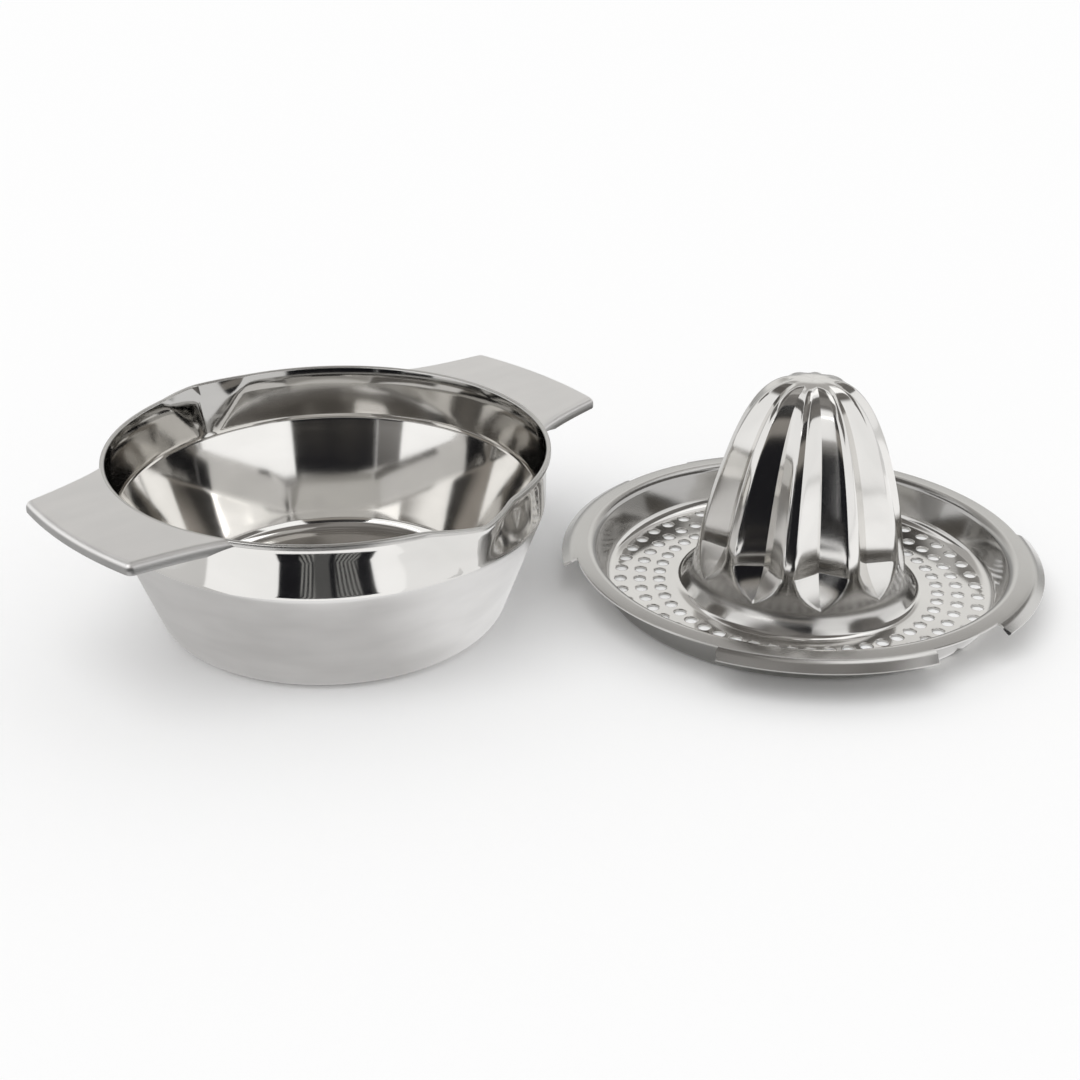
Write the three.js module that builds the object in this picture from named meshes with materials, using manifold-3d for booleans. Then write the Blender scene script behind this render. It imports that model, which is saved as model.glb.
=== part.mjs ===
/**
 * Hand citrus squeezer in pressed stainless steel sheet, in two loose pieces that stand side by side:
 * a bowl with two welded handles and two pouring lips, and a reamer with its strainer.
 *
 * Millimetres, +Z up. The bowl's underside is centred on the origin, and both pieces stand on z = 0.
 */
import * as THREE from 'three';
import { mergeGeometries, mergeVertices } from 'three/addons/utils/BufferGeometryUtils.js';
import Module from 'manifold-3d';

const degree = Math.PI / 180;
const fullTurn = 2 * Math.PI;
const halfTurn = Math.PI;

// Sizes that pieces share, and how finely round shapes are cut into flats.
const seatGap = 0.3;
const cutOverrun = 4;
const filletSteps = 3;
const smallFilletSteps = 2;
const weldShare = 1e-4;

// Where the two pieces stand: directions from +X, and the free space between the rim and the tabs.
const placing = {
  bowlTurn: 42.3 * degree,
  reamerTurn: 34.5 * degree,
  reamerDirection: 4.7 * degree,
  standApart: 5,
};

// Bowl: the wall is described by its outer face, and the sheet lies inside it.
const bowl = {
  sheet: 0.8,
  baseRadius: 55.3,
  baseFillet: 6.8,
  bandRadius: 69.4,
  bandBottom: 38.2,
  bandBend: 8,
  bandSpread: 0.15,
  rimRadius: 71,
  height: 56.7,
  hemHeight: 2,
  hemWidth: 1.5,
  hemRounding: 0.7,
  flareHeight: 4,
  flareSpread: 0.5,
  steps: 88,
};

// Pouring lips, pressed out of the band. The crowding share gathers the wall's flats at the lips.
const lip = {
  reach: 4.8,
  dip: 1.3,
  halfAngle: 12.5 * degree,
  footHalfAngle: 3 * degree,
  roundingShare: 0.12,
  crowdingShare: 0.62,
};

// Handles: the tip is a shallow arc, and the sides draw in to a waist and flare again at the rim.
const handle = {
  reach: 22.9,
  tipHalfWidth: 28.9,
  tipBulge: 2.8,
  rootHalfWidth: 36,
  waistAlongShare: 0.27,
  waistAcrossShare: 0.44,
  cornerRadius: 2.5,
  sheet: 0.9,
  edgeDepth: 3.7,
  edgeRounding: 2.2,
  taperLength: 5,
  sideSteps: 8,
  tipSteps: 10,
  roundingSteps: 3,
};

// Reamer: the cone's ridges follow one curve from the collar to the top.
const reamer = {
  sheet: 0.8,
  collarRadius: 34.4,
  collarFillet: 8,
  shoulder: 19,
  height: 73.9,
  roundPower: 1 / 3,
  rows: 8,
  innerRows: 4,
};

// Flutes: V-shaped grooves with flat flanks and round ridges between them, each ending below in a point.
const flute = {
  count: 10,
  stepsEach: 7,
  turn: 22.5 * degree,
  depthShare: 0.165,
  tipHeight: 8.5,
  flankShare: 0.8,
};

// Strainer: the perforated plate, its trough wall and the softly rolled flange that rests on the rim.
const strainer = {
  wallClearance: 0.5,
  wallHeight: 13.8,
  wallLean: 4.05,
  troughFillet: 4.2,
  flangeBend: 3,
  flangeReach: 4,
  flangeDrop: 0.5,
  tabReach: 8.2,
  tabDrop: 2.9,
  tabBend: 5,
  tabBendReach: 0.95,
  handleGapHalfAngle: 28.2 * degree,
  lipGapHalfAngle: 10.8 * degree,
  gapSteps: 7,
};

const holes = {
  radius: 2,
  ringCount: 3,
  innerMargin: 3.9,
  outerMargin: 4.75,
  countPerRing: 48,
  sides: 6,
};

const finishes = {
  polished: { color: 0xc9c8c6, roughness: 0.12, metalness: 1 },
  satin: { color: 0xbdbbb8, roughness: 0.38, metalness: 1 },
};

const wasm = await Module();
wasm.setup();

/** Turns a closed geometry into a solid for boolean work. */
function toSolid(geometry) {
  const bare = geometry.clone();
  bare.deleteAttribute('normal');
  bare.deleteAttribute('uv');
  const welded = mergeVertices(bare, bowl.sheet * weldShare);
  return new wasm.Manifold(new wasm.Mesh({
    numProp: 3,
    vertProperties: new Float32Array(welded.attributes.position.array),
    triVerts: new Uint32Array(welded.index.array),
  }));
}

/** Turns a solid back into a geometry. */
function toGeometry(solid) {
  const mesh = solid.getMesh();
  const geometry = new THREE.BufferGeometry();
  geometry.setAttribute('position', new THREE.BufferAttribute(new Float32Array(mesh.vertProperties), 3));
  geometry.setIndex(new THREE.BufferAttribute(new Uint32Array(mesh.triVerts), 1));
  geometry.computeVertexNormals();
  return geometry;
}

/** A profile through corners of [radius, height, fillet], with an arc at each corner that has a fillet. */
function filletedPath(corners, steps) {
  const points = corners.map(([radius, height]) => new THREE.Vector2(radius, height));
  return points.flatMap((corner, index) => {
    const fillet = corners[index][2] ?? 0;
    if (fillet === 0) {
      return [corner];
    }
    const back = points[index - 1].clone().sub(corner).normalize();
    const on = points[index + 1].clone().sub(corner).normalize();
    const halfCorner = Math.acos(back.dot(on)) / 2;
    const centre = back.clone().add(on).normalize()
      .multiplyScalar(fillet / Math.sin(halfCorner)).add(corner);
    const start = back.clone().multiplyScalar(fillet / Math.tan(halfCorner)).add(corner);
    const sweep = Math.sign(back.cross(on)) * (2 * halfCorner - halfTurn);
    return Array.from({ length: steps + 1 }, (_, step) => {
      return start.clone().rotateAround(centre, sweep * step / steps);
    });
  });
}

/** The path moved to its left by a distance, or to its right by a negative one. */
function offsetPath(path, distance) {
  return path.map((point, index) => {
    if (point.x === 0) {
      return new THREE.Vector2(0, point.y + distance);
    }
    const into = point.clone().sub(path[Math.max(index - 1, 0)]).normalize();
    const out = path[Math.min(index + 1, path.length - 1)].clone().sub(point).normalize();
    const along = into.clone().add(out).normalize();
    const miter = distance / Math.max(along.dot(out), along.dot(into));
    return new THREE.Vector2(point.x - along.y * miter, point.y + along.x * miter);
  });
}

/** Turns a profile about +Z, with its first flat edge starting on -Y. */
function turned(profile, steps) {
  return new THREE.LatheGeometry(profile, steps).rotateX(halfTurn / 2);
}

/** Moves each vertex of a turned shape by a rule on its angle from -Y, radius and height. */
function reshape(geometry, rule) {
  const position = geometry.attributes.position;
  for (let index = 0; index < position.count; index += 1) {
    const x = position.getX(index);
    const y = position.getY(index);
    const place = rule({ angle: Math.atan2(x, -y), radius: Math.hypot(x, y), height: position.getZ(index) });
    position.setXYZ(
      index,
      place.radius * Math.sin(place.angle),
      -place.radius * Math.cos(place.angle),
      place.height,
    );
  }
  return geometry;
}

/** The bowl wall's outer face, from the middle of the underside up to where the rim starts to flare. */
function bowlOuterPath() {
  return filletedPath([
    [0, 0],
    [bowl.baseRadius, 0, bowl.baseFillet],
    [bowl.bandRadius, bowl.bandBottom, bowl.bandBend],
    [bowl.bandRadius + bowl.bandSpread, bowl.height - bowl.flareHeight],
  ], filletSteps);
}

/** The folded rim, from the outside of the wall over the top to the inside. */
function hemPath(outerStart, innerEnd) {
  const underside = bowl.height - bowl.hemHeight;
  return filletedPath([
    [outerStart.x, outerStart.y],
    [outerStart.x + bowl.flareSpread, underside],
    [bowl.rimRadius, underside],
    [bowl.rimRadius, bowl.height, bowl.hemRounding],
    [bowl.rimRadius - bowl.hemWidth, bowl.height, bowl.hemRounding],
    [innerEnd.x, innerEnd.y],
  ], smallFilletSteps).slice(1, -1);
}

/** Presses the pouring lips into a point of the bowl's wall. */
function pressLips({ angle, radius, height }) {
  const crowded = angle - lip.crowdingShare / 2 * Math.sin(2 * angle);
  const riseShare = (height - bowl.bandBottom) / (bowl.height - bowl.bandBottom);
  if (riseShare <= 0) {
    return { angle: crowded, radius, height };
  }
  const fromLip = Math.abs(Math.atan(Math.tan(crowded)));
  const halfAngle = lip.footHalfAngle + (lip.halfAngle - lip.footHalfAngle) * riseShare;
  const spreadShare = Math.hypot(fromLip / halfAngle, lip.roundingShare) - lip.roundingShare;
  const pressShare = Math.max(0, 1 - spreadShare) * riseShare;
  return {
    angle: crowded,
    radius: radius + lip.reach * pressShare,
    height: height - lip.dip * pressShare * riseShare,
  };
}

/** Bowl with its folded rim and two pouring lips on the Y axis. */
function bowlGeometry() {
  const outer = bowlOuterPath();
  const inner = offsetPath(outer, bowl.sheet);
  const hem = hemPath(outer.at(-1), inner.at(-1));
  return reshape(turned([...outer, ...hem, ...inner.reverse()], bowl.steps), pressLips);
}

/** Plan of a handle along +X, running inside the rim so that its root can be cut to the rim. */
function handleOutline() {
  const cornerX = bowl.rimRadius + handle.reach - handle.tipBulge;
  const rootX = Math.sqrt(bowl.rimRadius ** 2 - handle.rootHalfWidth ** 2);
  const corner = new THREE.Vector2(cornerX, handle.tipHalfWidth);
  const root = new THREE.Vector2(rootX, handle.rootHalfWidth);
  const waist = new THREE.Vector2(
    THREE.MathUtils.lerp(rootX, cornerX, handle.waistAlongShare),
    THREE.MathUtils.lerp(handle.tipHalfWidth, handle.rootHalfWidth, handle.waistAcrossShare),
  );
  const inside = root.clone().sub(waist).setLength(cutOverrun).add(root);
  const tipRadius = (handle.tipHalfWidth ** 2 + handle.tipBulge ** 2) / (2 * handle.tipBulge);
  const tipCentre = bowl.rimRadius + handle.reach - tipRadius;
  const tipHalfAngle = Math.asin(handle.tipHalfWidth / tipRadius);
  const side = new THREE.QuadraticBezierCurve(root, waist, corner).getPoints(handle.sideSteps);
  const tip = Array.from({ length: handle.tipSteps - 1 }, (_, step) => {
    const angle = tipHalfAngle * (1 - 2 * (step + 1) / handle.tipSteps);
    return new THREE.Vector2(tipCentre + tipRadius * Math.cos(angle), tipRadius * Math.sin(angle));
  });
  const upper = [inside, ...side];
  const lower = upper.map((point) => new THREE.Vector2(point.x, -point.y)).reverse();
  const corners = [...upper, ...tip, ...lower].map((point) => [point.x, point.y]);
  corners[upper.length - 1].push(handle.cornerRadius);
  corners[upper.length + tip.length].push(handle.cornerRadius);
  return new THREE.Shape(filletedPath(corners, filletSteps));
}

/** Slab of the handle's plan, drawn in by an inset, with its top edge rounded, and its top at z = 0. */
function handleSlab(outline, inset, depth) {
  const rounding = handle.edgeRounding - inset;
  return toSolid(new THREE.ExtrudeGeometry(outline, {
    depth,
    bevelThickness: rounding,
    bevelSize: rounding,
    bevelOffset: -rounding - inset,
    bevelSegments: handle.roundingSteps,
  }).translate(0, 0, -depth - rounding - inset));
}

/** What the bowl takes out of a handle: the rim with its gap, and the taper below the side edges' roots. */
function handleRootCut() {
  const seatRadius = bowl.rimRadius + seatGap;
  const depth = handle.edgeDepth + cutOverrun;
  return toSolid(turned([
    new THREE.Vector2(0, -depth),
    new THREE.Vector2(seatRadius + handle.taperLength, -depth),
    new THREE.Vector2(seatRadius + handle.taperLength, -handle.edgeDepth),
    new THREE.Vector2(seatRadius, -bowl.hemHeight),
    new THREE.Vector2(seatRadius, cutOverrun),
    new THREE.Vector2(0, cutOverrun),
  ], bowl.steps));
}

/** Handle along +X: a sheet flush with the rim, with its sides and tip turned down. */
function handleGeometry() {
  const outline = handleOutline();
  const outside = handleSlab(outline, 0, handle.edgeDepth);
  const depth = handle.edgeDepth + cutOverrun;
  const hollow = handleSlab(outline, handle.sheet, depth);
  const width = 2 * (handle.rootHalfWidth + cutOverrun);
  const reach = 2 * (bowl.rimRadius + handle.reach + cutOverrun);
  const below = new THREE.BoxGeometry(reach, width, depth).translate(0, 0, -handle.edgeDepth - depth / 2);
  const solid = outside.subtract(hollow).subtract(toSolid(below)).subtract(handleRootCut());
  return toGeometry(solid).translate(0, 0, bowl.height);
}

/** Radius of the cone's ridges at a share of the rise from shoulder to top. */
function ridgeRadius(riseShare) {
  return reamer.collarRadius * (1 - riseShare) ** reamer.roundPower;
}

/** Ridge line of the cone, from the top down to the shoulder. */
function conePath(rows) {
  const rise = reamer.height - reamer.shoulder;
  return Array.from({ length: rows + 1 }, (_, row) => {
    const riseShare = 1 - (row / rows) ** 2;
    return new THREE.Vector2(ridgeRadius(riseShare), reamer.shoulder + rise * riseShare);
  });
}

/** Radius of the trough wall's upper face at the flange, where the wall clears the inside of the rim. */
function wallTopRadius() {
  return bowl.rimRadius - bowl.hemWidth - strainer.wallClearance - reamer.sheet;
}

/** Upper face of the reamer's sheet, from the top of the cone out to the edge of the tabs. */
function reamerUpperPath(rows, steps) {
  const plate = reamer.sheet;
  const flange = plate + strainer.wallHeight;
  const wallTop = wallTopRadius();
  const midCollar = (reamer.shoulder + flute.tipHeight) / 2;
  const tabCorner = bowl.rimRadius + strainer.flangeReach + strainer.tabBendReach;
  const flangeAndTroughs = filletedPath([
    [reamer.collarRadius, midCollar],
    [reamer.collarRadius, plate, reamer.collarFillet],
    [wallTop - strainer.wallLean, plate, strainer.troughFillet],
    [wallTop, flange, strainer.flangeBend],
    [tabCorner, flange - strainer.flangeDrop, strainer.tabBend],
    [bowl.rimRadius + strainer.tabReach, flange - strainer.tabDrop],
  ], steps);
  return [...conePath(rows), ...flangeAndTroughs];
}

/** Presses the flutes into a point of the cone or the collar; other points stay. */
function pressFlutes({ angle, radius, height }) {
  if (radius > reamer.collarRadius || height <= flute.tipHeight) {
    return { angle, radius, height };
  }
  const pitch = fullTurn / flute.count;
  const fromValley = Math.abs(angle - Math.round(angle / pitch) * pitch);
  const flankEnd = pitch / 2 * flute.flankShare;
  const valleyShare = 1 - flute.depthShare;
  const chordShare = valleyShare * Math.sin(flankEnd)
    / (Math.sin(flankEnd - fromValley) + valleyShare * Math.sin(fromValley));
  const belowShare = Math.max(0, (reamer.shoulder - height) / (reamer.shoulder - flute.tipHeight));
  const pressedShare = Math.min(1, chordShare + flute.depthShare * belowShare ** 2);
  return { angle, radius: radius * pressedShare, height };
}

/** A short prism that cuts one drain hole, upright on the plate. */
function holeCutter(radius, angle) {
  return new THREE.CylinderGeometry(holes.radius, holes.radius, 2 * reamer.sheet + cutOverrun, holes.sides)
    .rotateX(halfTurn / 2)
    .translate(radius, 0, 0)
    .rotateZ(angle);
}

/** Radius of a ring of drain holes; the rings share the flat of the plate evenly. */
function ringRadius(ring) {
  const innermost = reamer.collarRadius + reamer.collarFillet + holes.innerMargin;
  const outermost = wallTopRadius() - strainer.wallLean - holes.outerMargin;
  return innermost + (outermost - innermost) * ring / (holes.ringCount - 1);
}

/** All drain holes: rings of equal count, lined up in rays. */
function holeCutters() {
  const cutters = [];
  for (let ring = 0; ring < holes.ringCount; ring += 1) {
    for (let index = 0; index < holes.countPerRing; index += 1) {
      cutters.push(holeCutter(ringRadius(ring), index * fullTurn / holes.countPerRing));
    }
  }
  return mergeGeometries(cutters);
}

/** A block that takes the tab off the flange between two directions. */
function tabGapCutter(middle, halfAngle) {
  const innerRadius = bowl.rimRadius + strainer.flangeReach;
  const outerRadius = bowl.rimRadius + strainer.tabReach + cutOverrun;
  const outline = new THREE.Shape();
  outline.absarc(0, 0, innerRadius, middle - halfAngle, middle + halfAngle, false);
  outline.absarc(0, 0, outerRadius, middle + halfAngle, middle - halfAngle, true);
  const height = strainer.wallHeight + reamer.sheet + cutOverrun;
  return toSolid(new THREE.ExtrudeGeometry(outline, {
    depth: height,
    bevelEnabled: false,
    curveSegments: strainer.gapSteps,
  }));
}

/** Reamer and strainer: gaps for the handles on the X axis, and for the lips on the Y axis. */
function reamerGeometry() {
  const upper = reamerUpperPath(reamer.rows, filletSteps);
  const under = offsetPath(reamerUpperPath(reamer.innerRows, smallFilletSteps), -reamer.sheet);
  const body = reshape(turned([...under, ...upper.reverse()], flute.count * flute.stepsEach), pressFlutes);
  body.rotateZ(flute.turn + halfTurn / 2);
  let solid = toSolid(body).subtract(toSolid(holeCutters()));
  for (const side of [0, halfTurn]) {
    solid = solid.subtract(tabGapCutter(side, strainer.handleGapHalfAngle));
    solid = solid.subtract(tabGapCutter(side + halfTurn / 2, strainer.lipGapHalfAngle));
  }
  return toGeometry(solid);
}

/** A named mesh in its own finish. */
function piece(name, geometry, finish) {
  const mesh = new THREE.Mesh(geometry, new THREE.MeshStandardMaterial(finish));
  mesh.name = name;
  return mesh;
}

/** The bowl with its two handles, turned to where its handles point. */
function bowlGroup() {
  const group = new THREE.Group();
  group.add(piece('bowl', bowlGeometry(), finishes.polished));
  group.add(piece('handle_right', handleGeometry(), finishes.satin));
  group.add(piece('handle_left', handleGeometry().rotateZ(halfTurn), finishes.satin));
  group.rotation.z = placing.bowlTurn;
  return group;
}

/** The reamer with its strainer, standing beside the bowl. */
function reamerGroup() {
  const distance = 2 * bowl.rimRadius + strainer.tabReach + placing.standApart;
  const group = new THREE.Group();
  group.add(piece('reamer_strainer', reamerGeometry(), finishes.polished));
  group.rotation.z = placing.reamerTurn;
  group.position.set(
    distance * Math.cos(placing.reamerDirection),
    distance * Math.sin(placing.reamerDirection),
    0,
  );
  return group;
}

const squeezer = new THREE.Group();
squeezer.add(bowlGroup(), reamerGroup());

export default squeezer;
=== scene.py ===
"""Looks of a hand citrus squeezer in pressed stainless steel: a bowl with two welded handles and two
pouring lips, and a reamer with its strainer that stands beside the bowl.

Sizes are in millimetres, and become metres where a mesh is made. Angles are in degrees.
"""
import logging
import math
from dataclasses import dataclass, field, replace
from enum import Enum, IntEnum
from functools import reduce
from operator import mul

import bmesh
import bpy
import numpy as np
from mathutils import Matrix


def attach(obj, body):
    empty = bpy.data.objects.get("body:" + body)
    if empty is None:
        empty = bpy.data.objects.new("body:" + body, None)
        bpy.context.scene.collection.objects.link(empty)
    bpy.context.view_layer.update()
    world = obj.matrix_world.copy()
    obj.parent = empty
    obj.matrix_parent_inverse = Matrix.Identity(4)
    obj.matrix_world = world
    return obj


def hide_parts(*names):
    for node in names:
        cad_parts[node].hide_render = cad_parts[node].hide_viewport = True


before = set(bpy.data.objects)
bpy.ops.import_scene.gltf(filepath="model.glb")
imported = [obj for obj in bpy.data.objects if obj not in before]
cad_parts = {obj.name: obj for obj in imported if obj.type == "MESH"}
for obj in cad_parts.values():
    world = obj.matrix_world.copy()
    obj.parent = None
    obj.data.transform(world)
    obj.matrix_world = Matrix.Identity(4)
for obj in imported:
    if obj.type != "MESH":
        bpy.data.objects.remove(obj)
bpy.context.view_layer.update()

MM = 0.001
LOG = logging.getLogger("squeezer")

Place = tuple[float, float, float]
Colour = tuple[float, float, float]
NO_COLOUR: Colour = (0.0, 0.0, 0.0)
FULL_WHITE: Colour = (1.0, 1.0, 1.0)
TINY = 1e-9


def linked(name: str, data: bpy.types.ID) -> bpy.types.Object:
    """Makes an object of some data.

    Args:
        name: The object's name.
        data: Its mesh, camera or lamp.

    Returns:
        The object, linked to the scene.
    """
    thing = bpy.data.objects.new(name, data)
    bpy.context.scene.collection.objects.link(thing)
    return thing


# Profiles: paths in radius and height

SHARPEST_MITER = 0.3


@dataclass(frozen=True)
class Corner:
    """A corner of a profile, with the radius of its rounding."""

    radius: float
    height: float
    fillet: float = 0.0

    def point(self) -> np.ndarray:
        """The corner as an array of radius and height."""
        return np.array([self.radius, self.height])


def filleted(corners: list[Corner], steps: int) -> np.ndarray:
    """Rounds the corners of a profile.

    Args:
        corners: The profile's corners in order.
        steps: How many chords each rounding has.

    Returns:
        An array of points, one row each.
    """
    path: list[np.ndarray] = []
    for index, corner in enumerate(corners):
        here = corner.point()
        if corner.fillet == 0:
            path.append(here)
            continue
        back = corners[index - 1].point() - here
        onward = corners[index + 1].point() - here
        back, onward = back / np.linalg.norm(back), onward / np.linalg.norm(onward)
        half = math.acos(float(back @ onward)) / 2
        middle = (back + onward) / np.linalg.norm(back + onward)
        centre = here + middle * corner.fillet / math.sin(half)
        start = here + back * corner.fillet / math.tan(half) - centre
        sweep = math.copysign(math.pi - 2 * half, back[1] * onward[0] - back[0] * onward[1])
        for step in range(steps + 1):
            turn = sweep * step / steps
            cos, sin = math.cos(turn), math.sin(turn)
            spin = np.array([[cos, -sin], [sin, cos]])
            path.append(centre + spin @ start)
    return np.array(path)


def offset(path: np.ndarray, distance: float) -> np.ndarray:
    """Moves a path sideways by a distance: to its left, or to its right where it is negative.

    Args:
        path: The points, one row each.
        distance: How far each stretch moves.

    Returns:
        The moved path, with as many points. A point on the axis moves straight up or down.
    """
    step = np.diff(path, axis=0)
    step /= np.linalg.norm(step, axis=1)[:, None]
    into, out = np.vstack([step[:1], step]), np.vstack([step, step[-1:]])
    along = into + out
    along /= np.linalg.norm(along, axis=1)[:, None]
    miter = distance / np.maximum((along * out).sum(axis=1), SHARPEST_MITER)
    moved = path + np.stack([-along[:, 1] * miter, along[:, 0] * miter], axis=1)
    on_axis = path[:, 0] == 0
    moved[on_axis] = path[on_axis] + np.array([0.0, distance])
    return moved


# Meshes

WELD_REACH = 0.002
THIN_CREASE = 30.0
HANDLE_CREASE = 35.0


class MeshMaker:
    """Collects grids and faces in millimetres, and welds them into one closed mesh."""

    def __init__(self) -> None:
        """Starts with no points."""
        self.points: list[np.ndarray] = []
        self.faces: list[tuple[int, ...]] = []
        self.slots: list[int] = []
        self.count = 0

    def add_points(self, points: np.ndarray) -> np.ndarray:
        """Adds points.

        Args:
            points: An array whose last axis is x, y, z.

        Returns:
            The points' numbers, in the array's own shape.
        """
        shape = points.shape[:-1]
        amount = int(np.prod(shape))
        self.points.append(points.reshape(amount, 3))
        numbers = np.arange(self.count, self.count + amount).reshape(shape)
        self.count += amount
        return numbers

    def add_grid(self, grid: np.ndarray, wrap: bool = False, slots: np.ndarray | None = None) -> None:
        """Adds a grid of quads.

        Args:
            grid: Points by row and column.
            wrap: Whether the last column joins the first.
            slots: The material slot of each row of quads; all slot 0 if not given.
        """
        numbers = self.add_points(grid)
        columns = np.concatenate([numbers, numbers[:, :1]], axis=1) if wrap else numbers
        for row in range(len(columns) - 1):
            low, high = columns[row], columns[row + 1]
            quads = np.stack([low[:-1], low[1:], high[1:], high[:-1]], axis=1)
            self.faces.extend(map(tuple, quads.tolist()))
            self.slots.extend([0 if slots is None else int(slots[row])] * len(quads))

    def add_face(self, points: np.ndarray) -> None:
        """Adds one flat face with any number of corners."""
        self.faces.append(tuple(self.add_points(points).tolist()))
        self.slots.append(0)

    def build(self, name: str, materials: list[bpy.types.Material], crease: float) -> bpy.types.Object:
        """Welds what was collected into an object with smooth shading.

        Args:
            name: The object's name.
            materials: One for each material slot.
            crease: The angle from which an edge stays sharp.

        Returns:
            The new object, linked to the scene.
        """
        mesh = bpy.data.meshes.new(name)
        mesh.from_pydata((np.concatenate(self.points) * MM).tolist(), [], self.faces)
        mesh.polygons.foreach_set("material_index", self.slots)
        work = bmesh.new()
        work.from_mesh(mesh)
        bmesh.ops.remove_doubles(work, verts=work.verts, dist=WELD_REACH * MM)
        bmesh.ops.recalc_face_normals(work, faces=work.faces)
        work.to_mesh(mesh)
        work.free()
        mesh.polygons.foreach_set("use_smooth", [True] * len(mesh.polygons))
        mesh.set_sharp_from_angle(angle=math.radians(crease))
        for material in materials:
            mesh.materials.append(material)
        return linked(name, mesh)


def turned(path: np.ndarray, angles: np.ndarray) -> tuple[np.ndarray, np.ndarray, np.ndarray]:
    """Spreads a profile round the axis.

    Args:
        path: Radius and height, one row each.
        angles: The angles of the columns, in radians.

    Returns:
        Radius, angle and height, each by row and column.
    """
    radius = np.repeat(path[:, :1], len(angles), axis=1)
    height = np.repeat(path[:, 1:], len(angles), axis=1)
    return radius, np.tile(angles, (len(path), 1)), height


def round_grid(radius: np.ndarray | float, angle: np.ndarray, height: np.ndarray) -> np.ndarray:
    """Turns radius, angle and height into points."""
    return np.stack([radius * np.cos(angle), radius * np.sin(angle), height], axis=-1)


# Shader arithmetic


class Signal:
    """A shader value on which Python's operators work; each adds a Math node."""

    def __init__(self, bench: "Bench", socket: bpy.types.NodeSocket) -> None:
        """Wraps a socket of the bench's material."""
        self.bench = bench
        self.socket = socket

    def math(self, operation: str, *others: "Signal | float") -> "Signal":
        """This value and others put through one Math node."""
        inputs = dict(enumerate((self, *others)))
        return self.bench.signal("ShaderNodeMath", {"operation": operation}, inputs)

    def __add__(self, other: "Signal | float") -> "Signal":
        """This value plus another."""
        return self.math("ADD", other)

    def __mul__(self, other: "Signal | float") -> "Signal":
        """This value times another."""
        return self.math("MULTIPLY", other)

    def __sub__(self, other: "Signal | float") -> "Signal":
        """This value less another."""
        return self.math("SUBTRACT", other)

    def __rsub__(self, other: float) -> "Signal":
        """A number less this value."""
        return self.math("MULTIPLY", -1.0).math("ADD", other)

    def __truediv__(self, other: "Signal | float") -> "Signal":
        """This value over another."""
        return self.math("DIVIDE", other)

    __radd__ = __add__
    __rmul__ = __mul__

    def within(self, low: float, high: float, soft: float) -> "Signal":
        """1 where this value lies between two others, with both ends softened inwards, and 0 elsewhere."""
        return self.ramp(low, low + soft) * self.ramp(high, high - soft)

    def ramp(self, low: float, high: float) -> "Signal":
        """Rises smoothly from 0 to 1 as this value goes from low to high, and is held at both ends."""
        settings = {"interpolation_type": "SMOOTHSTEP", "clamp": True}
        return self.bench.signal("ShaderNodeMapRange", settings, {0: self, 1: low, 2: high})


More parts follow.
